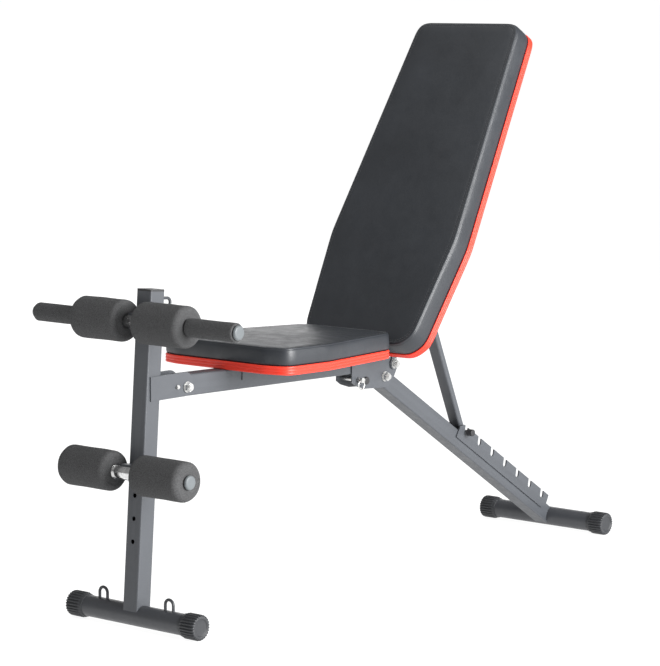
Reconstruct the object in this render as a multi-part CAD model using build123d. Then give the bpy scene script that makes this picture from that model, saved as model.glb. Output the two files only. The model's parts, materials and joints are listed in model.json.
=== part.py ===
from build123d import *
import os
import math

# ---------------------------------------------------------------- driving sizes (mm)
# Working frame: X across the bench, Y rearward from the front foot axis, Z up from the floor.
# Every sub-part is shifted by -Y_MID at export, so the origin is the bottom centre of the box.
FOOT_Z = 25.0
FOOT_R = 21.0
FOOT_HALF = 166.0
CAP_R = 25.3
CAP_LEN = 42.0
CAP_END = 171.0
CAP_RIBS = 20
REAR_FOOT_Y = 1332.0
WALL = 2.0

POST_W = 38.0
POST_LEAN = 4.33
POST_TOP = 624.0
HOLE_R = 4.7
HOLE_PITCH = 44.5
HOLE_FIRST = 143.5
HOLE_COUNT = 4

BEAM_W = 37.0
BEAM_H = 42.0
BEAM_Z0 = 461.0
BEAM_TILT = -1.19
BEAM_START = 101.0
NOSE_R = 22.5
BEAM_END = 652.0

PLATE_IN = 19.3
PLATE_T = 2.7
FOLD_Y = 123.0
FOLD_Z = 456.0
BOLT_R = 5.0
FIT = 0.08

HINGE_Y = 725.0
HINGE_Z = 412.0
LEG_W = 37.8
LEG_TOP = 16.5
LEG_BOTTOM = -20.5
SLOTS = 7
SLOT_FIRST = 320.0
SLOT_PITCH = 55.5
SLOT_OFF = 22.4
SLOT_R = 5.8
ROD_R = 5.2
SLOT_LEAN = 11.0

PIVOT_Y = 752.0
PIVOT_Z = 437.0
BACK_ANGLE = 59.5
BACK_Y = 700.0
BACK_Z = 573.0
BACK_THICK = 62.0
BACK_LOW = -97.0
BACK_HIGH = 667.0
TRIM_H = 17.0
TRIM_T = 3.2
STRUT_Y = 851.0
STRUT_Z = 622.0
STRUT_GAP = 10.5
STRUT_W = 30.0
STRUT_D = 15.0

SEAT_FRONT = 236.0
SEAT_REAR = 632.0
SEAT_RIDE = 0.3
SEAT_THICK = 51.0

TOP_BAR_Y = 3.5
TOP_BAR_Z = 592.0
LOW_BAR_Y = -19.0
LOW_BAR_Z = 304.0
BAR_R = 12.5
BAR_CLEAR = 0.3
TOP_ROLLER_R = 41.0
TOP_ROLLER = (21.0, 141.0)
LOW_ROLLER_R = 39.5
LOW_ROLLER = (33.0, 158.0)
GRIP_R = 18.5
GRIP_END = 262.0
TOP_HALF = 264.0
LOW_HALF = 160.0

FRONT_EDGE = LOW_BAR_Y - LOW_ROLLER_R
REAR_EDGE = REAR_FOOT_Y + CAP_R
Y_MID = (FRONT_EDGE + REAR_EDGE) / 2

# ---------------------------------------------------------------- frames
POST = Pos(0, 0, FOOT_Z) * Rot(-POST_LEAN, 0, 0)
BEAM = Pos(0, 0, BEAM_Z0) * Rot(BEAM_TILT, 0, 0)
LEG_ANGLE = math.degrees(math.atan2(FOOT_Z - HINGE_Z, REAR_FOOT_Y - HINGE_Y))
LEG_LEN = math.hypot(REAR_FOOT_Y - HINGE_Y, HINGE_Z - FOOT_Z)
LEG = Pos(0, HINGE_Y, HINGE_Z) * Rot(LEG_ANGLE, 0, 0)
BACK = Pos(0, BACK_Y, BACK_Z) * Rot(BACK_ANGLE, 0, 0)
SEAT_Z = BEAM_H / 2 + SEAT_RIDE


def leg_point(s, h):
    """World Y, Z of a point s along the leg from its hinge and h above its axis."""
    a = math.radians(LEG_ANGLE)
    return (HINGE_Y + s * math.cos(a) - h * math.sin(a), HINGE_Z + s * math.sin(a) + h * math.cos(a))


def back_point(u, h):
    """World Y, Z of a point u up the backrest and h in front of its face."""
    a = math.radians(BACK_ANGLE)
    return (BACK_Y + u * math.cos(a) - h * math.sin(a), BACK_Z + u * math.sin(a) + h * math.cos(a))


ROD_Y, ROD_Z = leg_point(SLOT_FIRST, SLOT_OFF)


def save(name, solid):
    shape = Pos(0, -Y_MID, 0) * solid
    shape.label = name
    export_step(shape, "parts/" + name + ".step")


# ---------------------------------------------------------------- shared shapes
def bar_x(y, z, r, x0, x1):
    """Round bar along X."""
    return Pos((x0 + x1) / 2, y, z) * Rot(0, 90, 0) * Cylinder(r, x1 - x0)


def hex_x(y, z, r, x0, x1):
    """Hexagonal prism along X."""
    prism = extrude(RegularPolygon(r, 6), amount=x1 - x0)
    return Pos(x0, y, z) * Rot(0, 90, 0) * prism


def slab_x(points, x0, x1):
    """Flat plate: an outline in Y, Z drawn out from x0 to x1."""
    line = Polyline(*[(x0, y, z) for y, z in points], close=True)
    return extrude(make_face(line), amount=x1 - x0, dir=(1, 0, 0))


def square_tube(width, depth, y0, y1, z_mid, wall, corner):
    """Hollow rectangular tube along local Y."""
    mid = (y0 + y1) / 2
    outer = Box(width, y1 - y0, depth)
    outer = fillet(outer.edges().filter_by(Axis.Y), corner)
    inner = Box(width - 2 * wall, y1 - y0 + 2, depth - 2 * wall)
    return Pos(0, mid, z_mid) * (outer - inner)


def hex_bolt(y, z, r, x0, x1, head):
    """Shaft from x0 to x1 with a washer and a hexagon head at x0."""
    shaft = bar_x(y, z, r, x0, x1)
    washer = bar_x(y, z, r * 2.3, x0 - 1.5, x0)
    return shaft + washer + hex_x(y, z, r * 1.8, x0 - 1.5 - head, x0 - 1.5)


def hex_nut(y, z, r, x0, x1):
    """Washer face and domed lock nut, bored to clear its bolt."""
    washer = bar_x(y, z, r * 2.1, x0, x0 + 1.5)
    body = hex_x(y, z, r * 1.85, x0 + 1.5, x1)
    collar = bar_x(y, z, r * 1.35, x1, x1 + 2.5)
    return washer + body + collar - bar_x(y, z, r + 0.05, x0 - 1, x1 + 4)


def ring_loop(radius, wire, leg):
    """Open wire loop in local X, Z: an arch on two straight legs, feet at Z = 0."""
    arch = Pos(0, 0, leg) * Rot(90, 0, 0) * Torus(radius, wire)
    arch = arch - Pos(0, 0, leg - 50) * Box(100, 100, 100)
    for side in (-1, 1):
        arch = arch + Pos(side * radius, 0, leg / 2) * Cylinder(wire, leg)
    return arch


def plan(points, inset):
    """Symmetric outline from right-hand (x, y) points, corners rounded, inset by a wall."""
    right = [(x, y) for x, y in points]
    left = [(-x, y) for x, y in reversed(points)]
    face = make_face(Polyline(*(right + left), close=True))
    face = fillet(face.vertices(), 24)
    if inset:
        face = offset(face, amount=-inset)
    return face


# ---------------------------------------------------------------- feet
def foot_tube(y):
    outer = bar_x(y, FOOT_Z, FOOT_R, -FOOT_HALF, FOOT_HALF)
    return outer - bar_x(y, FOOT_Z, FOOT_R - WALL, -FOOT_HALF - 1, FOOT_HALF + 1)


def foot_cap(y, side):
    start = CAP_END - CAP_LEN
    body = bar_x(y, FOOT_Z, CAP_R - 1.3, start, CAP_END)
    for i in range(CAP_RIBS):
        rib = Box(CAP_LEN - 5, 3.4, 2.6)
        turn = Rot(i * 360 / CAP_RIBS, 0, 0) * Pos(0, 0, CAP_R - 1.3)
        body = body + Pos(start + CAP_LEN / 2, y, FOOT_Z) * turn * rib
    body = body & bar_x(y, FOOT_Z, CAP_R, start - 1, CAP_END + 1)
    body = body - Pos(150, y, -50) * Box(200, 200, 100)
    body = body - bar_x(y, FOOT_Z, FOOT_R + 0.05, start - 1, FOOT_HALF + 0.3)
    body = body - bar_x(y, FOOT_Z, 17.5, CAP_END - 2, CAP_END + 1)
    return body if side > 0 else mirror(body, Plane.YZ)


def rope_loop(x):
    feet = ring_loop(10.5, 3.0, 14.0)
    loop = Pos(x, 0, FOOT_Z + FOOT_R - 3.0) * feet
    return loop - bar_x(0, FOOT_Z, FOOT_R, x - 40, x + 40)


# ---------------------------------------------------------------- front post
def front_post_tube():
    tube = square_tube(POST_W, POST_W, 0, POST_TOP, 0, WALL, 3.0)
    tube = POST * Rot(90, 0, 0) * Pos(0, 0, 0) * tube
    tube = tube - bar_x(0, FOOT_Z, FOOT_R, -30, 30)
    for i in range(HOLE_COUNT):
        drill = Pos(0, 0, HOLE_FIRST + i * HOLE_PITCH) * Rot(90, 0, 0) * Cylinder(HOLE_R, 60)
        tube = tube - POST * Pos(0, -30, 0) * drill
    return tube


def post_cap():
    top = Box(POST_W, POST_W, 4.0)
    top = fillet(top.edges().filter_by(Axis.Z), 3.0)
    skirt = Pos(0, 0, -10) * Box(POST_W - 2 * WALL - 0.4, POST_W - 2 * WALL - 0.4, 16)
    return POST * Pos(0, 0, POST_TOP + 2.0) * (top + skirt)


def rope_eye():
    a = math.radians(POST_LEAN)
    eye = Rot(0, 0, 90) * ring_loop(8.5, 3.0, 27.0)
    eye = Rot(-90, 0, 0) * eye
    return POST * Pos(0, POST_W / 2, (625.0 - FOOT_Z) / math.cos(a)) * eye


def front_bracket():
    height = 47.0
    y0 = 23.0
    tail = FOLD_Y - 6
    plate = Pos(0, (y0 + tail) / 2, 462) * Box(2 * PLATE_T, tail - y0, height)
    plate = plate + bar_x(tail, 462, height / 2, -PLATE_T, PLATE_T)
    right = Pos(PLATE_IN + PLATE_T / 2 - 0.3, 0, 0) * plate
    right = right & Pos(PLATE_IN + PLATE_T / 2 - 0.3, 80, 462) * Box(PLATE_T, 300, 100)
    both = right + mirror(right, Plane.YZ)
    both = both - bar_x(FOLD_Y, FOLD_Z, BOLT_R + 0.05, -60, 60)
    return both - bar_x(95, 459, 4.15, -60, 60)


def front_bolt():
    return hex_bolt(FOLD_Y, FOLD_Z, BOLT_R, -PLATE_IN - PLATE_T + 0.3, 34, 6.0)


def front_nut():
    return hex_nut(FOLD_Y, FOLD_Z, BOLT_R, PLATE_IN + PLATE_T - 0.3, 30.5)


def front_pin():
    pin = bar_x(95, 459, 4.0, -30, 25)
    tip = bar_x(95, 459, 3.0, 25, 27)
    collar = bar_x(95, 459, 7.0, -27, -24)
    knob = bar_x(95, 459, 12.0, -52, -30)
    return pin + tip + collar + fillet(knob.edges(), 3.0)


# ---------------------------------------------------------------- roller bars
def saddle(y, z):
    """Weld pad between a roller bar and the front face of the post."""
    face = (z - FOOT_Z) * math.tan(math.radians(POST_LEAN)) - POST_W / 2
    block = Pos(0, (y + face) / 2, z) * Rot(-POST_LEAN, 0, 0) * Box(34, face - y + 30, 30)
    block = block - bar_x(y, z, BAR_R + 0.01, -40, 40)
    keep_front = Pos(0, y + 50, z) * Box(60, 100, 80)
    block = block & keep_front
    length = (z - FOOT_Z) / math.cos(math.radians(POST_LEAN))
    return block - POST * Pos(0, 0, length) * Box(POST_W, POST_W, 80)


def roller_bar(y, z, half):
    tube = bar_x(y, z, BAR_R, -half, half)
    return tube - bar_x(y, z, BAR_R - WALL, -half - 1, half + 1)


def foam_roller(y, z, radius, x0, x1, side):
    body = bar_x(y, z, radius, x0, x1)
    body = fillet(body.edges(), 9.0)
    body = body - bar_x(y, z, BAR_R + BAR_CLEAR, x0 - 1, x1 + 1)
    return body if side > 0 else mirror(body, Plane.YZ)


def foam_grip(side):
    x0 = TOP_ROLLER[1] + 1.0
    body = bar_x(TOP_BAR_Y, TOP_BAR_Z, GRIP_R, x0, GRIP_END)
    body = fillet(body.edges().group_by(Axis.X)[-1], 3.0)
    body = body - bar_x(TOP_BAR_Y, TOP_BAR_Z, BAR_R + 0.05, x0 - 1, GRIP_END + 1)
    return body if side > 0 else mirror(body, Plane.YZ)


def end_plug(y, z, x0, side):
    dome = bar_x(y, z, 14.0, x0, x0 + 5)
    dome = fillet(dome.edges().group_by(Axis.X)[-1], 4.0)
    body = dome + bar_x(y, z, BAR_R - WALL - 0.1, x0 - 12, x0)
    return body if side > 0 else mirror(body, Plane.YZ)


def stop_ring(y, z, x0, side):
    ring = bar_x(y, z, BAR_R + 3.5, x0, x0 + 3) - bar_x(y, z, BAR_R, x0 - 1, x0 + 4)
    return ring if side > 0 else mirror(ring, Plane.YZ)


# ---------------------------------------------------------------- beam and seat
def main_beam():
    tube = square_tube(BEAM_W, BEAM_H, BEAM_START, BEAM_END, 0, WALL, 3.5)
    tube = BEAM * tube
    nose = Pos(0, FOLD_Y - 25, FOLD_Z) * Box(60, 50, 90)
    nose = nose - bar_x(FOLD_Y, FOLD_Z, NOSE_R, -40, 40)
    return tube - nose - bar_x(FOLD_Y, FOLD_Z, BOLT_R + FIT, -30, 30)


def beam_plug(y):
    block = Box(BEAM_W - 2 * WALL - 0.3, 12, BEAM_H - 2 * WALL - 0.3)
    rim = Pos(0, 7.5, 0) * Box(BEAM_W, 3, BEAM_H)
    return BEAM * Pos(0, y - 6, 0) * (block + rim)


def rear_bracket():
    y0, y1 = 618.0, PIVOT_Y + 8
    outline = [(y0, 452), (y0, 410), (632, 401), (658, 393), (HINGE_Y - 6, 389), (HINGE_Y + 12, 389),
               (HINGE_Y + 26, 401), (PIVOT_Y + 13, 425), (PIVOT_Y + 13, 444), (y1 - 2, 452),
               (PIVOT_Y - 8, 451), (712, 447), (660, 449)]
    right = slab_x(outline, PLATE_IN, PLATE_IN + PLATE_T)
    both = right + mirror(right, Plane.YZ)
    both = both - bar_x(HINGE_Y, HINGE_Z, BOLT_R + 0.05, -60, 60)
    both = both - bar_x(PIVOT_Y, PIVOT_Z, BOLT_R + 0.05, -60, 60)
    both = both - bar_x(638, 414, 4.15, -60, 60)
    return both + bracket_weld()


def bracket_weld():
    """Packing strips that join the bracket plates to the sides of the beam."""
    gap = PLATE_IN - BEAM_W / 2
    strip = BEAM * Pos(BEAM_W / 2 + gap / 2, 635, -6) * Box(gap, 30, 10)
    return strip + mirror(strip, Plane.YZ)


def rear_bolt():
    return hex_bolt(HINGE_Y, HINGE_Z, BOLT_R, -PLATE_IN - PLATE_T, 36, 6.0)


def rear_nut():
    return hex_nut(HINGE_Y, HINGE_Z, BOLT_R, PLATE_IN + PLATE_T, 31)


def pivot_bolt():
    return hex_bolt(PIVOT_Y, PIVOT_Z, BOLT_R, -26.2, 37, 6.0)


def pivot_nut():
    return hex_nut(PIVOT_Y, PIVOT_Z, BOLT_R, 26.2, 33)


def rear_pin():
    pin = bar_x(638, 414, 4.0, -27, 24)
    head = bar_x(638, 414, 5.5, 24, 36)
    return pin + head - Pos(31, 638, 414) * Rot(90, 0, 0) * Cylinder(3.4, 40)


def rear_pin_ring():
    return Pos(31, 638, 414 - 9.5) * Rot(0, 90, 0) * Torus(9.5, 1.2)


def bumper():
    pad = bar_x(662, 410, 8.0, PLATE_IN + PLATE_T, PLATE_IN + PLATE_T + 5)
    pad = fillet(pad.edges().group_by(Axis.X)[-1], 2.0)
    return pad + mirror(pad, Plane.YZ)


def seat_outline(inset):
    points = [(118, SEAT_FRONT), (169, SEAT_FRONT + 15), (168, 375), (119, SEAT_REAR)]
    return plan(points, inset)


def back_outline(inset):
    points = [(120, BACK_LOW), (149, BACK_LOW + 26), (170, 150), (138, BACK_HIGH)]
    return plan(points, inset)


def seat_board():
    return BEAM * Pos(0, 0, SEAT_Z) * extrude(seat_outline(TRIM_T + 0.2), amount=12)


def seat_trim():
    ring = seat_outline(0) - seat_outline(TRIM_T)
    return BEAM * Pos(0, 0, SEAT_Z) * extrude(ring, amount=TRIM_H)


def seat_cushion():
    pad = extrude(seat_outline(2.0), amount=SEAT_THICK - TRIM_H - 0.5)
    return BEAM * Pos(0, 0, SEAT_Z + TRIM_H + 0.5) * pad


def seat_support(y):
    """Cross plate under the seat board with two ears on the beam sides."""
    strap = Pos(0, y, BEAM_H / 2 - 12) * Box(BEAM_W + 4.4, 34, 24)
    strap = strap - Pos(0, y, BEAM_H / 2 - 12) * Box(BEAM_W, 40, 30)
    for side in (-1, 1):
        strap = strap + Pos(side * (BEAM_W / 2 + 40), y, BEAM_H / 2 - 1.25) * Box(80, 34, 2.5)
    return BEAM * strap


# ---------------------------------------------------------------- rear leg
def leg_tube():
    depth = LEG_TOP - LEG_BOTTOM
    mid = (LEG_TOP + LEG_BOTTOM) / 2
    tube = LEG * square_tube(LEG_W, depth, -16, LEG_LEN - 2, mid, WALL, 3.5)
    tube = tube - bar_x(REAR_FOOT_Y, FOOT_Z, FOOT_R, -40, 40)
    return tube - bar_x(HINGE_Y, HINGE_Z, BOLT_R + FIT, -40, 40)


def leg_plug():
    depth = LEG_TOP - LEG_BOTTOM
    mid = (LEG_TOP + LEG_BOTTOM) / 2
    return LEG * Pos(0, -17.5, mid) * Box(LEG_W, 3, depth)


def rack_plate(side):
    x0 = PLATE_IN - 0.4
    tip = 33.5
    outline = [(294, -1.5), (668, -1.5), (680, 12), (678, tip), (306, tip), (294, 24)]
    face = make_face(Polyline(*[(x0, s, h) for s, h in outline], close=True))
    plate = extrude(face, amount=3.2, dir=(1, 0, 0))
    a = math.radians(SLOT_LEAN)
    turn = math.degrees(math.atan2(math.cos(a), math.sin(a))) - LEG_ANGLE
    for i in range(SLOTS):
        s = SLOT_FIRST + i * SLOT_PITCH
        round_end = Pos(0, s, SLOT_OFF) * Rot(0, 90, 0) * Cylinder(SLOT_R, 80)
        mouth = Pos(0, s, SLOT_OFF) * Rot(turn, 0, 0) * Pos(0, 20, 0) * Box(80, 40, 2 * SLOT_R)
        plate = plate - round_end - mouth
    plate = LEG * plate
    return plate if side > 0 else mirror(plate, Plane.YZ)


# ---------------------------------------------------------------- strut and backrest
def strut_tube():
    dy, dz = STRUT_Y - ROD_Y, STRUT_Z - ROD_Z
    length = math.hypot(dy, dz)
    frame = Pos(0, ROD_Y, ROD_Z) * Rot(math.degrees(math.atan2(dz, dy)), 0, 0)
    body = square_tube(STRUT_W, STRUT_D, 3.0, length - STRUT_GAP, 0, WALL, 5.0)
    body = body - bar_x(0, 0, ROD_R, -40, 40)
    return frame * body


def strut_rod():
    return bar_x(ROD_Y, ROD_Z, ROD_R, -38, 38)


def rod_cap(side):
    cap = bar_x(ROD_Y, ROD_Z, ROD_R + 2.3, 26, 41)
    cap = fillet(cap.edges().group_by(Axis.X)[-1], 2.0) - bar_x(ROD_Y, ROD_Z, ROD_R + 0.02, 20, 38.1)
    return cap if side > 0 else mirror(cap, Plane.YZ)


def back_frame():
    """Square tube down the back of the board."""
    return BACK * square_tube(30, 28, -40, 520, -BACK_THICK - 14.3, WALL, 3.0)


def back_tube_plug(u, side):
    return BACK * Pos(0, u + side * 1.5, -BACK_THICK - 14.3) * Box(30, 3, 28)


def back_plate(u):
    plate = Box(190, 36, 3.0) - Box(30.1, 40, 10)
    for x in (-75, 75):
        plate = plate - Pos(x, 0, 0) * Cylinder(3.6, 20)
    return BACK * Pos(0, u, -BACK_THICK - 1.8) * plate


def back_ears():
    """Two hinge ears from the frame tube down to the backrest pivot."""
    py, pz = PIVOT_Y, PIVOT_Z
    pts = []
    for u, h in ((-34, -BACK_THICK - 6), (46, -BACK_THICK - 6), (46, -BACK_THICK - 26)):
        pts.append(back_point(u, h))
    a = math.radians(BACK_ANGLE)
    d = (math.cos(a), math.sin(a))
    low = (py + 12 * d[0] + 1.0 * d[1], pz + 12 * d[1] - 1.0 * d[0])
    end = (py - 12 * d[0], pz - 12 * d[1])
    outline = [pts[0], pts[1], pts[2], low, end]
    plate = slab_x(outline, 22.6, 25.8) + bar_x(py, pz, 12.0, 22.6, 25.8)
    bridge_y, bridge_z = back_point(6, -BACK_THICK - 14.3)
    spacer = Pos(0, bridge_y, bridge_z) * Rot(BACK_ANGLE, 0, 0) * Pos(18.8, 0, 0) * Box(7.6, 70, 14)
    right = plate + spacer
    right = right - bar_x(py, pz, BOLT_R + FIT, 0, 60)
    return right + mirror(right, Plane.YZ)


def clevis():
    """Two ears on the back of the frame tube that carry the top of the strut."""
    y, z = STRUT_Y, STRUT_Z
    a = math.radians(BACK_ANGLE)
    n = (-math.sin(a), math.cos(a))
    d = (math.cos(a), math.sin(a))
    root = BACK_THICK + 24
    reach = -((y - BACK_Y) * n[0] + (z - BACK_Z) * n[1]) - root
    base = (y + reach * n[0], z + reach * n[1])
    outline = [(base[0] - 20 * d[0], base[1] - 20 * d[1]), (base[0] + 20 * d[0], base[1] + 20 * d[1]),
               (y + 12 * d[0], z + 12 * d[1]), (y - 12 * d[0], z - 12 * d[1])]
    plate = slab_x(outline, STRUT_W / 2 + 0.8, STRUT_W / 2 + 3.8) + bar_x(y, z, 12.0, STRUT_W / 2 + 0.8,
                                                                        STRUT_W / 2 + 3.8)
    foot_y, foot_z = back_point(0, 0)
    u = (y - BACK_Y) * d[0] + (z - BACK_Z) * d[1]
    pad = BACK * Pos(STRUT_W / 2 + 1.0, u, -BACK_THICK - 20) * Box(1.8, 36, 12)
    right = plate + pad
    right = right - bar_x(y, z, 4.05, 0, 60)
    return right + mirror(right, Plane.YZ)


def clevis_bolt():
    return hex_bolt(STRUT_Y, STRUT_Z, 4.0, -STRUT_W / 2 - 3.8, STRUT_W / 2 + 10, 5.0)


def clevis_nut():
    return hex_nut(STRUT_Y, STRUT_Z, 4.0, STRUT_W / 2 + 3.8, STRUT_W / 2 + 8.5)


def back_board():
    return BACK * Pos(0, 0, -BACK_THICK) * extrude(back_outline(TRIM_T + 0.2), amount=12)


def back_trim():
    ring = back_outline(0) - back_outline(TRIM_T)
    return BACK * Pos(0, 0, -BACK_THICK + 1.0) * extrude(ring, amount=TRIM_H - 1)


def back_cushion():
    pad = extrude(back_outline(2.0), amount=BACK_THICK - TRIM_H - 0.5)
    return BACK * Pos(0, 0, -BACK_THICK + TRIM_H + 0.5) * pad


def pair(shape, *sizes):
    """Right and left copies of a small fitting, saved as one node."""
    return shape(*sizes, 1) + shape(*sizes, -1)


def main():
    os.makedirs("parts", exist_ok=True)
    save("main_beam", main_beam())
    save("beam_plug", beam_plug(BEAM_END))
    save("rear_hinge_bracket", rear_bracket())
    save("rear_hinge_bolt", rear_bolt())
    save("rear_hinge_nut", rear_nut())
    save("backrest_pivot_bolt", pivot_bolt())
    save("backrest_pivot_nut", pivot_nut())
    save("bracket_bumpers", bumper())
    save("seat_support_front", seat_support(300))
    save("seat_support_rear", seat_support(540))
    save("seat_board", seat_board())
    save("seat_trim", seat_trim())
    save("seat_cushion", seat_cushion())
    save("rear_lock_pin", rear_pin())
    save("rear_pin_ring", rear_pin_ring())
    save("front_post", front_post_tube())
    save("post_cap", post_cap())
    save("front_bracket", front_bracket())
    save("front_fold_bolt", front_bolt())
    save("front_fold_nut", front_nut())
    save("front_lock_pin", front_pin())
    save("front_foot_tube", foot_tube(0))
    save("rear_foot_tube", foot_tube(REAR_FOOT_Y))
    for side, tag in ((1, "right"), (-1, "left")):
        save("front_foot_cap_" + tag, foot_cap(0, side))
        save("rear_foot_cap_" + tag, foot_cap(REAR_FOOT_Y, side))
        save("rope_loop_" + tag, rope_loop(88.0 * side))
        save("upper_roller_" + tag, foam_roller(TOP_BAR_Y, TOP_BAR_Z, TOP_ROLLER_R, *TOP_ROLLER, side))
        save("lower_roller_" + tag, foam_roller(LOW_BAR_Y, LOW_BAR_Z, LOW_ROLLER_R, *LOW_ROLLER, side))
        save("upper_grip_" + tag, foam_grip(side))
        save("rack_plate_" + tag, rack_plate(side))
    save("upper_bar_plugs", pair(end_plug, TOP_BAR_Y, TOP_BAR_Z, TOP_HALF))
    save("lower_bar_plugs", pair(end_plug, LOW_BAR_Y, LOW_BAR_Z, LOW_HALF))
    save("lower_stop_rings", pair(stop_ring, LOW_BAR_Y, LOW_BAR_Z, LOW_ROLLER[0] - 3.5))
    save("strut_rod_caps", pair(rod_cap))
    save("rope_eye", rope_eye())
    save("upper_bar_saddle", saddle(TOP_BAR_Y, TOP_BAR_Z))
    save("lower_bar_saddle", saddle(LOW_BAR_Y, LOW_BAR_Z))
    save("upper_roller_bar", roller_bar(TOP_BAR_Y, TOP_BAR_Z, TOP_HALF))
    save("lower_roller_bar", roller_bar(LOW_BAR_Y, LOW_BAR_Z, LOW_HALF))
    save("leg_tube", leg_tube())
    save("leg_plug", leg_plug())
    save("strut_tube", strut_tube())
    save("strut_rod", strut_rod())


def main_back():
    save("backrest_frame", back_frame())
    save("backrest_plug", back_tube_plug(520, 1))
    save("backrest_plates", back_plate(60) + back_plate(430))
    save("backrest_ears", back_ears())
    save("strut_clevis", clevis())
    save("clevis_bolt", clevis_bolt())
    save("clevis_nut", clevis_nut())
    save("backrest_board", back_board())
    save("backrest_trim", back_trim())
    save("backrest_cushion", back_cushion())


main()
main_back()
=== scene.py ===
import bpy
import json
import math
from mathutils import Matrix, Vector, noise


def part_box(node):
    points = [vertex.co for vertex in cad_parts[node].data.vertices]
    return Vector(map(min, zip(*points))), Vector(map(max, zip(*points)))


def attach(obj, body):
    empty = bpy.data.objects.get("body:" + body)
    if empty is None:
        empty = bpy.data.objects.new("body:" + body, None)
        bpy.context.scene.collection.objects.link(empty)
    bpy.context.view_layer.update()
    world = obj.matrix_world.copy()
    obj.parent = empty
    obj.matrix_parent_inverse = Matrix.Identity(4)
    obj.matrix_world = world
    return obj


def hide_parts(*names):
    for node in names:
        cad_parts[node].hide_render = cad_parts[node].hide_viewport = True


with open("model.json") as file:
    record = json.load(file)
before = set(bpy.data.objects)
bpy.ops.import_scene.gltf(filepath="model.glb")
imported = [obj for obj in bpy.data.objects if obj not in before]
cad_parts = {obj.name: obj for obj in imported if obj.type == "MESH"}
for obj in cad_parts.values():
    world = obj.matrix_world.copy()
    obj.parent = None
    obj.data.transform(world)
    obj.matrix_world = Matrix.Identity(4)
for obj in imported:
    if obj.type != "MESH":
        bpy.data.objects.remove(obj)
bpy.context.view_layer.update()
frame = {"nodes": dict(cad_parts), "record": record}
nodes = frame["nodes"]

# Tilts of the two padded planes about X, degrees.
SEAT_TILT = -1.19
BACK_TILT = 59.5

# Cushions, metres; heights are shares of the CAD cushion's own height.
OUTLINE_POINTS = 240
OUTLINE_SMOOTHING = 3
SEAT_CROWN = 0.0035
BACK_CROWN = 0.0040
PANEL_INSET = 0.012
PANEL_RISE = 1.06
PANEL_RINGS = 26
CROWN_POWER = 2.2
SIDE_WAVE = 0.0011
TOP_WAVE = 0.0016

# Stitches along the cushions' top edge, metres.
STITCH_PITCH = 0.0062
STITCH_HALF_WIDTH = 0.00045
STITCH_ROWS = ((0.0066, 1.058), (0.0108, 1.062))
STITCH_SHAPE = ((-0.0021, -0.0006), (-0.0012, 0.0003), (0.0012, 0.0003), (0.0021, -0.0006))

# Ribbed red edge moulding, metres.
BAND_RIBS = 3
BAND_RIB_STEPS = 8
BAND_PROUD = 0.0020
BAND_GROOVE = 0.0009
BAND_BACK = 0.0012

# Foam sleeves, metres.
SLEEVE_SEGMENTS = 96
SLEEVE_ARC_STEPS = 8
SLEEVE_SPANS = 14
SLEEVE_DENT = 0.0006
ROLLER_BORE = 0.0128
GRIP_BORE = 0.01255

# Ribbed foot caps, metres.
CAP_RIBS = 26
CAP_RIB_STEPS = 8
CAP_RIB_DEPTH = 0.0028
CAP_COLLAR = 0.90
CAP_DISC = 0.66

# Camera place and lens; angles in degrees, lengths in metres, lens in millimetres.
CAMERA_AZIMUTH = 40.4347
CAMERA_ELEVATION = 7.1309
CAMERA_PLACE = (3.6264, -4.3316, 1.2158)
CAMERA_LENS = 148.1
SENSOR_WIDTH = 36.0


# ---------------------------------------------------------------- materials
def new_material(name, base, rough, metal=0.0):
    m = bpy.data.materials.new(name)
    m.use_nodes = True
    bsdf = m.node_tree.nodes["Principled BSDF"]
    bsdf.inputs["Base Color"].default_value = (*base, 1.0)
    bsdf.inputs["Roughness"].default_value = rough
    bsdf.inputs["Metallic"].default_value = metal
    return m, m.node_tree, bsdf


def link(tree, a, b):
    tree.links.new(a, b)


def coords(tree):
    return tree.nodes.new("ShaderNodeTexCoord").outputs["Object"]


def noise_tex(tree, scale, detail=3.0):
    n = tree.nodes.new("ShaderNodeTexNoise")
    n.inputs["Scale"].default_value = scale
    n.inputs["Detail"].default_value = detail
    n.inputs["Roughness"].default_value = 0.55
    link(tree, coords(tree), n.inputs["Vector"])
    return n.outputs["Fac"]


def voronoi(tree, scale, feature="F1"):
    v = tree.nodes.new("ShaderNodeTexVoronoi")
    v.feature = feature
    v.inputs["Scale"].default_value = scale
    link(tree, coords(tree), v.inputs["Vector"])
    return v.outputs["Distance"]


def ramp(tree, fac, stops):
    r = tree.nodes.new("ShaderNodeValToRGB")
    link(tree, fac, r.inputs["Fac"])
    ends = r.color_ramp.elements
    ends[0].position, ends[0].color = stops[0][0], (*stops[0][1], 1.0)
    ends[1].position, ends[1].color = stops[-1][0], (*stops[-1][1], 1.0)
    for pos, col in stops[1:-1]:
        e = ends.new(pos)
        e.color = (*col, 1.0)
    return r.outputs["Color"]


def span(tree, fac, low, high, start=0.3, end=0.7):
    m = tree.nodes.new("ShaderNodeMapRange")
    link(tree, fac, m.inputs["Value"])
    m.inputs["From Min"].default_value = start
    m.inputs["From Max"].default_value = end
    m.inputs["To Min"].default_value = low
    m.inputs["To Max"].default_value = high
    return m.outputs["Result"]


def bump(tree, bsdf, height, strength, distance, below=None):
    b = tree.nodes.new("ShaderNodeBump")
    b.inputs["Strength"].default_value = strength
    b.inputs["Distance"].default_value = distance
    link(tree, height, b.inputs["Height"])
    if below is not None:
        link(tree, below, b.inputs["Normal"])
    link(tree, b.outputs["Normal"], bsdf.inputs["Normal"])
    return b.outputs["Normal"]


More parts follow.
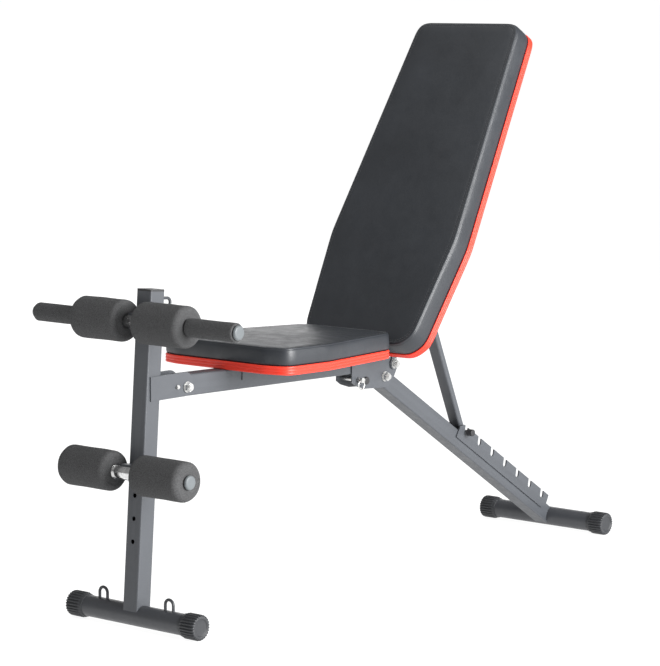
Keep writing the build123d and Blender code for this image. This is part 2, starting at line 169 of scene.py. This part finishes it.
def drift_and_edge_highlight(tree, bsdf, base, dark, edge):
    """Slow colour drift over the surface, with a painted highlight: paler colour on convex edges."""
    drift = ramp(tree, noise_tex(tree, 9.0, 4.0), [(0.3, dark), (0.7, base)])
    geo = tree.nodes.new("ShaderNodeNewGeometry")
    # Convex edges found by pointiness are mixed toward a paler colour: a painted edge highlight.
    edge_highlight_mask = span(tree, geo.outputs["Pointiness"], 0.0, 0.55, 0.53, 0.62)
    mix = tree.nodes.new("ShaderNodeMix")
    mix.data_type = "RGBA"
    link(tree, edge_highlight_mask, mix.inputs["Factor"])
    link(tree, drift, mix.inputs["A"])
    mix.inputs["B"].default_value = (*edge, 1.0)
    link(tree, mix.outputs["Result"], bsdf.inputs["Base Color"])


def paint(name, base, rough):
    m, t, b = new_material(name, base, rough)
    # The paler edge colour, base times 1.7, is a painted highlight on convex edges.
    drift_and_edge_highlight(t, b, base, tuple(c * 0.82 for c in base), tuple(min(1, c * 1.7) for c in base))
    link(t, span(t, noise_tex(t, 60.0), rough - 0.06, rough + 0.08), b.inputs["Roughness"])
    fine = bump(t, b, noise_tex(t, 900.0, 2.0), 0.12, 0.0004)
    bump(t, b, noise_tex(t, 35.0, 2.0), 0.06, 0.002, fine)
    b.inputs["Coat Weight"].default_value = 0.12
    b.inputs["Coat Roughness"].default_value = 0.3
    return m


def metal(name, base, rough):
    m, t, b = new_material(name, base, rough, 1.0)
    link(t, ramp(t, noise_tex(t, 120.0, 4.0), [(0.3, tuple(c * 0.78 for c in base)), (0.7, base)]),
         b.inputs["Base Color"])
    link(t, span(t, noise_tex(t, 260.0, 3.0), rough - 0.08, rough + 0.14), b.inputs["Roughness"])
    bump(t, b, noise_tex(t, 700.0, 2.0), 0.08, 0.0003)
    return m


def plastic(name, base, rough, grain=1400.0):
    m, t, b = new_material(name, base, rough)
    # The paler edge colour is a painted highlight on convex edges.
    drift_and_edge_highlight(t, b, base, tuple(c * 0.85 for c in base), tuple(min(1, c * 1.35 + 0.004) for c in base))
    link(t, span(t, noise_tex(t, 90.0), rough - 0.06, rough + 0.08), b.inputs["Roughness"])
    bump(t, b, noise_tex(t, grain, 2.0), 0.18, 0.0003)
    return m


def foam(name):
    m, t, b = new_material(name, (0.02, 0.02, 0.021), 0.95)
    cells = voronoi(t, 900.0)
    speck = ramp(t, cells, [
        (0.0, (0.170, 0.171, 0.174)),
        (0.3, (0.090, 0.091, 0.093)),
        (0.8, (0.046, 0.046, 0.047)),
    ])
    link(t, speck, b.inputs["Base Color"])
    pits = bump(t, b, cells, 0.7, 0.0009)
    bump(t, b, noise_tex(t, 55.0, 3.0), 0.35, 0.0015, pits)
    b.inputs["Specular IOR Level"].default_value = 0.2
    return m


def vinyl(name):
    m, t, b = new_material(name, (0.03, 0.032, 0.035), 0.42)
    shades = [(0.3, (0.0145, 0.0170, 0.0215)), (0.7, (0.0215, 0.0250, 0.0310))]
    drift = ramp(t, noise_tex(t, 7.0, 4.0), shades)
    link(t, drift, b.inputs["Base Color"])
    link(t, span(t, noise_tex(t, 40.0), 0.38, 0.5), b.inputs["Roughness"])
    grain = bump(t, b, voronoi(t, 850.0, "DISTANCE_TO_EDGE"), 0.22, 0.0005)
    bump(t, b, noise_tex(t, 16.0, 3.0), 0.25, 0.004, grain)
    b.inputs["Specular IOR Level"].default_value = 0.62
    return m


def fabric_board(name):
    m, t, b = new_material(name, (0.02, 0.02, 0.02), 0.9)
    wave = t.nodes.new("ShaderNodeTexWave")
    wave.inputs["Scale"].default_value = 260.0
    wave.inputs["Distortion"].default_value = 1.5
    link(t, coords(t), wave.inputs["Vector"])
    link(t, ramp(t, wave.outputs["Fac"], [(0.2, (0.012, 0.012, 0.012)), (0.9, (0.032, 0.032, 0.033))]),
         b.inputs["Base Color"])
    bump(t, b, wave.outputs["Fac"], 0.4, 0.0006)
    return m


PAINT = paint("powder_coat", (0.047, 0.051, 0.058), 0.48)
# Darker copy of the frame paint for the foot tubes and rope loops: painted shade where the frame meets the
# floor.
FEET_PAINTED_SHADE = paint("powder_coat_feet_painted_shade", (0.034, 0.036, 0.041), 0.42)
ZINC = metal("bright_zinc_plate", (0.72, 0.72, 0.71), 0.28)
CHROME = metal("polished_chrome", (0.80, 0.80, 0.80), 0.14)
BLACK = plastic("moulded_black", (0.022, 0.022, 0.024), 0.5)
CAPS = plastic("ribbed_cap_grey", (0.030, 0.032, 0.036), 0.46)
GREY = plastic("moulded_grey", (0.135, 0.150, 0.158), 0.42)
RED = plastic("red_band", (0.86, 0.040, 0.018), 0.42, 1800.0)
FOAM = foam("open_cell_foam")
VINYL = vinyl("black_vinyl_grain")
BOARD = fabric_board("black_board_cover")
THREAD = plastic("thread_grey", (0.10, 0.105, 0.11), 0.7, 3000.0)

BY_SLOT = {
    "frame_paint": PAINT, "bright_zinc": ZINC, "chrome_bar": CHROME, "black_plastic": BLACK,
    "grey_plastic": GREY, "foam": FOAM, "vinyl": VINYL, "red_trim": RED, "board": BOARD,
}
slot_of = {s["node"]: s["material_slot"] for s in frame["record"]["subparts"]}
for name, obj in nodes.items():
    mat = BY_SLOT[slot_of[name]]
    if "foot_cap" in name:
        mat = CAPS
    # Foot tubes and rope loops take the darker copy of the frame paint, a painted shade.
    elif name in ("front_foot_tube", "rear_foot_tube", "rope_loop_right", "rope_loop_left"):
        mat = FEET_PAINTED_SHADE
    obj.data.materials.clear()
    obj.data.materials.append(mat)


# ---------------------------------------------------------------- mesh helpers
def mesh_object(name, verts, faces, mat, body):
    me = bpy.data.meshes.new(name)
    me.from_pydata([tuple(v) for v in verts], [], faces)
    me.validate()
    me.update()
    for p in me.polygons:
        p.use_smooth = True
    me.materials.append(mat)
    obj = bpy.data.objects.new(name, me)
    bpy.context.scene.collection.objects.link(obj)
    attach(obj, body)
    return obj


def outline_of(node, tilt, count):
    """Plan outline of a flat CAD pad in its own tilted plane, evenly resampled, with its low and high."""
    turn = Matrix.Rotation(math.radians(tilt), 4, "X").inverted()
    pts = [turn @ v.co for v in nodes[node].data.vertices]
    low = min(p.z for p in pts)
    high = max(p.z for p in pts)
    ring = [(p.x, p.y) for p in pts if p.z < low + 0.0005]
    cx = 0.0
    cy = (min(p[1] for p in ring) + max(p[1] for p in ring)) / 2
    ring = set((round(x, 5), round(y, 5)) for x, y in ring)
    ring = sorted(ring, key=lambda p: math.atan2(p[1] - cy, p[0] - cx))
    total = [0.0]
    for i in range(len(ring)):
        a, b = ring[i], ring[(i + 1) % len(ring)]
        total.append(total[-1] + math.dist(a, b))
    out = []
    k = 0
    for i in range(count):
        d = total[-1] * i / count
        while total[k + 1] < d:
            k += 1
        a, b = ring[k], ring[(k + 1) % len(ring)]
        t = (d - total[k]) / max(total[k + 1] - total[k], 1e-9)
        out.append(Vector((a[0] + (b[0] - a[0]) * t, a[1] + (b[1] - a[1]) * t)))
    for _ in range(OUTLINE_SMOOTHING):
        out = [(out[i - 1] + out[i] * 2 + out[(i + 1) % count]) / 4 for i in range(count)]
    return out, low, high, turn.inverted(), Vector((cx, cy))


def inward(ring):
    """Unit inward normals of a counter-clockwise ring."""
    n = len(ring)
    out = []
    for i in range(n):
        d = ring[(i + 2) % n] - ring[i - 2]
        out.append(Vector((-d.y, d.x)).normalized())
    return out


def band(name, node, ring, nrm, turn, body):
    """Red edge moulding: rounded ribs run round the pad's outline, with a flat back against the board."""
    flat_z = [(turn.inverted() @ v.co).z for v in nodes[node].data.vertices]
    low, high = min(flat_z), max(flat_z)
    steps = BAND_RIBS * BAND_RIB_STEPS
    profile = []
    for k in range(steps + 1):
        f = k / steps
        rib = abs(math.sin(math.pi * BAND_RIBS * f)) ** 0.5
        profile.append((BAND_GROOVE * (1 - rib) - BAND_PROUD, f))
    profile += [(BAND_BACK, 1.0), (BAND_BACK, 0.0)]
    count = len(ring)
    verts = []
    for inset, part in profile:
        for p, q in zip(ring, nrm):
            at = p + q * inset
            verts.append(turn @ Vector((at.x, at.y, low + (high - low) * part)))
    faces = []
    rows = len(profile)
    for i in range(rows):
        j = (i + 1) % rows
        for k in range(count):
            m = (k + 1) % count
            faces.append((i * count + k, i * count + m, j * count + m, j * count + k))
    obj = mesh_object(name, verts, faces, RED, body)
    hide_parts(node)


def pad(name, node, trim, tilt, body, crown):
    """Crowned cushion with bulging side panels, a pulled-in seam and a domed top panel."""
    count = OUTLINE_POINTS
    ring, low, high, turn, mid = outline_of(node, tilt, count)
    nrm = inward(ring)
    tall = high - low
    # Inset and height share: bulging side panel, sewn seam, rolled piping, then the edge of the top panel.
    side_panel = [(0.0010, 0.0), (-0.0004, 0.12), (-0.0012, 0.33), (-0.0015, 0.55), (-0.0010, 0.76),
                  (-0.0002, 0.90)]
    seam = [(0.0004, 0.948), (0.0016, 0.962), (0.0010, 0.99)]
    piping = [(0.0018, 1.025), (0.0038, 1.046), (0.0074, 1.038), (PANEL_INSET, PANEL_RISE)]
    verts = []
    rings = []
    for inset, part in side_panel + seam + piping:
        row = []
        for p, q in zip(ring, nrm):
            wave = noise.noise(Vector((p.x * 9, p.y * 9, part * 2))) * SIDE_WAVE
            wave *= math.sin(math.pi * min(part, 1.0))
            flat = p + q * (inset + wave)
            row.append(len(verts))
            verts.append(turn @ Vector((flat.x, flat.y, low + tall * part)))
        rings.append(row)
    base = [p + q * PANEL_INSET for p, q in zip(ring, nrm)]
    edge_z = low + tall * PANEL_RISE
    for s in range(1, PANEL_RINGS):
        f = s / PANEL_RINGS
        row = []
        for p in base:
            flat = mid + (p - mid) * (1 - f)
            lift = crown * (1 - (1 - f) ** CROWN_POWER)
            lift += noise.noise(Vector((flat.x * 6, flat.y * 6, 3.1))) * TOP_WAVE * min(1.0, f * 4)
            row.append(len(verts))
            verts.append(turn @ Vector((flat.x, flat.y, edge_z + lift)))
        rings.append(row)
    faces = []
    for a, b in zip(rings, rings[1:]):
        for i in range(count):
            j = (i + 1) % count
            faces.append((a[i], a[j], b[j], b[i]))
    top = len(verts)
    verts.append(turn @ Vector((mid.x, mid.y, edge_z + crown)))
    last = rings[-1]
    for i in range(count):
        faces.append((last[i], last[(i + 1) % count], top))
    faces.append(tuple(reversed(rings[0])))
    obj = mesh_object(name, verts, faces, VINYL, body)
    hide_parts(node)
    stitches(name + "_stitching", ring, nrm, low, tall, turn, body)
    band(name + "_red_band", trim, ring, nrm, turn, body)


def stitches(name, ring, nrm, low, tall, turn, body):
    """Two rows of short raised stitches along the top edge."""
    verts = []
    faces = []
    for inset, part in STITCH_ROWS:
        path = [p + q * inset for p, q in zip(ring, nrm)]
        n = len(path)
        lengths = [(path[(i + 1) % n] - path[i]).length for i in range(n)]
        total = sum(lengths)
        for k in range(int(total / STITCH_PITCH)):
            d = k * STITCH_PITCH
            i = 0
            while d > lengths[i]:
                d -= lengths[i]
                i += 1
            a = path[i] + (path[(i + 1) % n] - path[i]) * (d / lengths[i])
            t = (path[(i + 1) % n] - path[i]).normalized()
            w = Vector((-t.y, t.x)) * STITCH_HALF_WIDTH
            z = low + tall * part
            at = len(verts)
            for along, up in STITCH_SHAPE:
                for sgn in (-1, 1):
                    p = a + t * along + w * sgn
                    verts.append(turn @ Vector((p.x, p.y, z + up)))
            for s in (0, 2, 4):
                faces.append((at + s, at + s + 1, at + s + 3, at + s + 2))
    mesh_object(name, verts, faces, THREAD, body)


def lathe(name, node, body, edge, hole, seed):
    """Foam sleeve turned about X: soft edges, a shallow dish round the bore, small dents."""
    lo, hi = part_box(node)
    cy, cz = (lo.y + hi.y) / 2, (lo.z + hi.z) / 2
    radius = (hi.y - lo.y) / 2
    x0, x1 = lo.x, hi.x
    dish = [(x0 + 0.0012, hole)]
    dish += [(x0 + 0.0006, hole + (radius - edge - hole) * t) for t in (0.25, 0.6, 0.9)]
    arc = []
    for k in range(SLEEVE_ARC_STEPS + 1):
        a = math.pi / 2 * k / SLEEVE_ARC_STEPS
        arc.append((x0 + edge * (1 - math.cos(a)), radius - edge * (1 - math.sin(a))))
    straight = [(x0 + edge + (x1 - x0 - 2 * edge) * k / SLEEVE_SPANS, radius) for k in range(1, SLEEVE_SPANS)]
    near_end = dish + arc
    far_end = [(x0 + x1 - x, r) for x, r in reversed(near_end)]
    profile = near_end + straight + far_end
    seg = SLEEVE_SEGMENTS
    verts = []
    for x, r in profile:
        for s in range(seg):
            a = 2 * math.pi * s / seg
            dent = 0.0
            if r > hole + 0.001:
                dent = noise.noise(Vector((x * 30, math.cos(a) * 2 + seed, math.sin(a) * 2)))
                dent = dent * SLEEVE_DENT - 0.0004
            rr = r + dent
            verts.append((x, cy + rr * math.cos(a), cz + rr * math.sin(a)))
    faces = []
    rows = len(profile)
    for i in range(rows):
        j = (i + 1) % rows
        for s in range(seg):
            t = (s + 1) % seg
            faces.append((i * seg + s, j * seg + s, j * seg + t, i * seg + t))
    obj = mesh_object(name, verts, faces, FOAM, body)
    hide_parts(node)


def ribbed_cap(name, node, body):
    """Moulded foot cap turned about X: deep ribs round the side, a rolled edge and a sunk end disc."""
    lo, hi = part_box(node)
    cy, cz = (lo.y + hi.y) / 2, (lo.z + hi.z) / 2
    radius = (hi.z - lo.z) / 2
    length = hi.x - lo.x
    outward = 1 if lo.x + hi.x > 0 else -1
    inner = lo.x if outward > 0 else hi.x
    collar = radius * CAP_COLLAR
    disc = radius * CAP_DISC
    # Each row is the distance from the inner end, the radius and the share of the rib depth.
    collar_rows = [(0.0, collar - 0.0012, 0.0), (0.0010, collar, 0.0), (0.0060, collar, 0.0)]
    ribbed_rows = [(0.0072, radius - 0.0012, 0.5), (0.0090, radius, 1.0), (length - 0.0040, radius, 1.0)]
    rim_rows = [(length - 0.0018, radius - 0.0008, 1.0), (length - 0.0004, radius - 0.0022, 0.9),
                (length, radius - 0.0044, 0.5), (length, disc + 0.0010, 0.0)]
    disc_rows = [(length - 0.0004, disc, 0.0), (length - 0.0016, disc - 0.0006, 0.0),
                 (length - 0.0018, disc - 0.0016, 0.0), (length - 0.0018, disc * 0.4, 0.0)]
    rows = collar_rows + ribbed_rows + rim_rows + disc_rows
    seg = CAP_RIBS * CAP_RIB_STEPS
    verts = []
    for along, r, share in rows:
        for s in range(seg):
            a = 2 * math.pi * s / seg
            groove = (0.5 - 0.5 * math.cos(CAP_RIBS * a)) ** 2
            rr = r - CAP_RIB_DEPTH * share * groove
            verts.append((inner + outward * along, cy + rr * math.sin(a), cz - rr * math.cos(a)))
    faces = []
    for i in range(len(rows) - 1):
        for s in range(seg):
            t = (s + 1) % seg
            face = (i * seg + s, i * seg + t, (i + 1) * seg + t, (i + 1) * seg + s)
            faces.append(face if outward < 0 else tuple(reversed(face)))
    last = (len(rows) - 1) * seg
    near = list(range(seg))
    far = list(range(last, last + seg))
    faces.append(tuple(reversed(near)) if outward < 0 else tuple(near))
    faces.append(tuple(far) if outward < 0 else tuple(reversed(far)))
    obj = mesh_object(name, verts, faces, CAPS, body)
    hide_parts(node)


# ---------------------------------------------------------------- pieces
pad("seat_pad", "seat_cushion", "seat_trim", SEAT_TILT, "main_frame", SEAT_CROWN)
pad("back_pad", "backrest_cushion", "backrest_trim", BACK_TILT, "backrest", BACK_CROWN)
lathe("upper_foam_right", "upper_roller_right", "upper_roller_r", 0.010, ROLLER_BORE, 1.0)
lathe("upper_foam_left", "upper_roller_left", "upper_roller_l", 0.010, ROLLER_BORE, 5.0)
lathe("lower_foam_right", "lower_roller_right", "lower_roller_r", 0.011, ROLLER_BORE, 9.0)
lathe("lower_foam_left", "lower_roller_left", "lower_roller_l", 0.011, ROLLER_BORE, 14.0)
lathe("grip_foam_right", "upper_grip_right", "front_post", 0.003, GRIP_BORE, 20.0)
lathe("grip_foam_left", "upper_grip_left", "front_post", 0.003, GRIP_BORE, 27.0)
for end, body in (("front", "front_post"), ("rear", "rear_leg")):
    for hand in ("right", "left"):
        ribbed_cap(f"{end}_ribbed_cap_{hand}", f"{end}_foot_cap_{hand}", body)


# ---------------------------------------------------------------- floor, lights, camera
def flat(name, size, mat):
    me = bpy.data.meshes.new(name)
    corners = [(-size, -size, 0), (size, -size, 0), (size, size, 0), (-size, size, 0)]
    me.from_pydata(corners, [], [(0, 1, 2, 3)])
    me.materials.append(mat)
    obj = bpy.data.objects.new(name, me)
    bpy.context.scene.collection.objects.link(obj)
    return obj


floor_mat, ft, fb = new_material("pale_floor", (0.2, 0.2, 0.2), 0.95)
floor_drift = ramp(ft, noise_tex(ft, 0.6), [(0.3, (0.19, 0.19, 0.19)), (0.7, (0.21, 0.21, 0.21))])
link(ft, floor_drift, fb.inputs["Base Color"])
fb.inputs["Emission Color"].default_value = (1, 1, 1, 1)
fb.inputs["Emission Strength"].default_value = 0.93
floor = flat("studio_floor", 900.0, floor_mat)
floor.location.z = -0.0005


def area(name, pos, aim, size, power):
    data = bpy.data.lights.new(name, "AREA")
    data.shape = "RECTANGLE"
    data.size, data.size_y = size
    data.energy = power
    obj = bpy.data.objects.new(name, data)
    obj.location = pos
    obj.rotation_euler = (Vector(aim) - Vector(pos)).to_track_quat("-Z", "Y").to_euler()
    bpy.context.scene.collection.objects.link(obj)


area("key_right", (4.5, 0.3, 1.6), (0, 0.1, 0.5), (3.4, 2.8), 500)
area("top_soft", (0.2, -0.3, 3.6), (0, 0, 0.4), (3.4, 3.4), 45)
area("back_glow", (-3.6, 4.0, 1.35), (0, 0, 0.5), (5.0, 2.6), 62)
area("fill_front", (-1.2, -4.2, 1.8), (0, 0, 0.5), (2.4, 2.0), 6)

world = bpy.data.worlds.new("studio")
world.use_nodes = True
world.node_tree.nodes["Background"].inputs["Color"].default_value = (1.0, 1.0, 1.0, 1.0)
world.node_tree.nodes["Background"].inputs["Strength"].default_value = 0.30
bpy.context.scene.world = world
bpy.context.scene.view_settings.view_transform = "Standard"

AZ, EL = math.radians(CAMERA_AZIMUTH), math.radians(CAMERA_ELEVATION)
look = Vector((-math.sin(AZ) * math.cos(EL), math.cos(AZ) * math.cos(EL), -math.sin(EL)))
right = Vector((math.cos(AZ), math.sin(AZ), 0.0))
up = right.cross(look)
cam_data = bpy.data.cameras.new("camera")
cam_data.sensor_width = SENSOR_WIDTH
cam_data.lens = CAMERA_LENS
cam_data.clip_end = 3000.0
cam = bpy.data.objects.new("camera", cam_data)
cam.matrix_world = Matrix((
    (right.x, up.x, -look.x, CAMERA_PLACE[0]),
    (right.y, up.y, -look.y, CAMERA_PLACE[1]),
    (right.z, up.z, -look.z, CAMERA_PLACE[2]),
    (0, 0, 0, 1),
))
bpy.context.scene.collection.objects.link(cam)
bpy.context.scene.camera = cam

bpy.context.view_layer.update()
